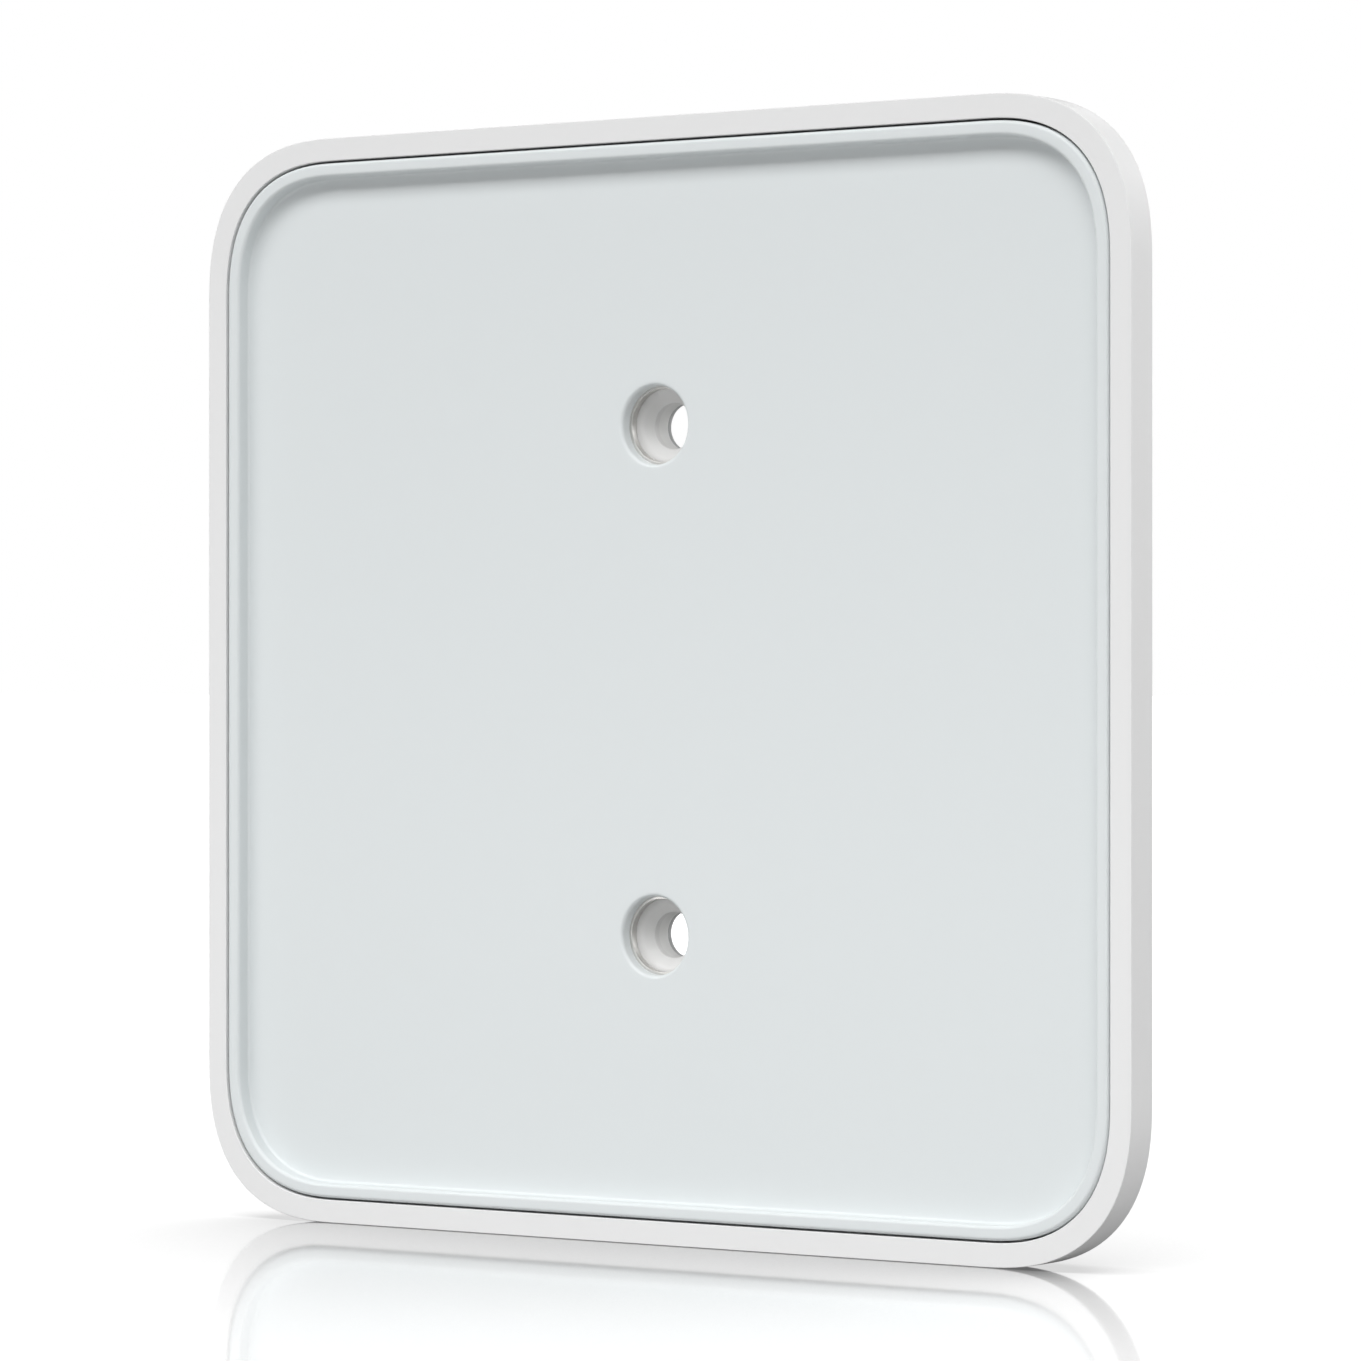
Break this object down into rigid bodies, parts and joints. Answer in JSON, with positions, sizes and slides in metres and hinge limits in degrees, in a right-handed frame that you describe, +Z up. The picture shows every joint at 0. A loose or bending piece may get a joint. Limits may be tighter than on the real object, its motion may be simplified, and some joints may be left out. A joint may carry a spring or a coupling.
{
  "type": "access point mounting plate",
  "caption": "Square surface mounting plate for a ceiling access point: white trim, pale recessed tray, and two countersunk screw holes through a steel-backed base.",
  "frame": {"origin": "centre of the back face that lies on the wall or ceiling, midway between the two screw holes", "axes": "+Z up along the line through the two screw holes, X to the right seen from the front, the front faces -Y and the wall or ceiling is the plane Y = 0; on a ceiling the plate is turned so that -Y points down"},
  "size_m": [0.132, 0.0095, 0.132],
  "materials": {
    "trim_white": "white, fine satin moulding",
    "gasket_rubber": "dark grey, matte",
    "tray_grey": "pale cool grey, fine satin moulding",
    "keeper_steel": "zinc-plated sheet",
    "base_white": "white moulding",
    "cover_white": "off-white moulding, fine spark texture",
    "pad_foam": "grey closed-cell foam",
    "screw_steel": "zinc-plated"
  },
  "bodies": {
    "root": {"trim_frame": "trim_white", "seam_gasket": "gasket_rubber", "front_tray": "tray_grey", "keeper_plate": "keeper_steel", "base_plate": "base_white", "rear_cover": "cover_white", "wall_pad": "pad_foam", "assembly_screws": "screw_steel"}
  },
  "joints": []
}
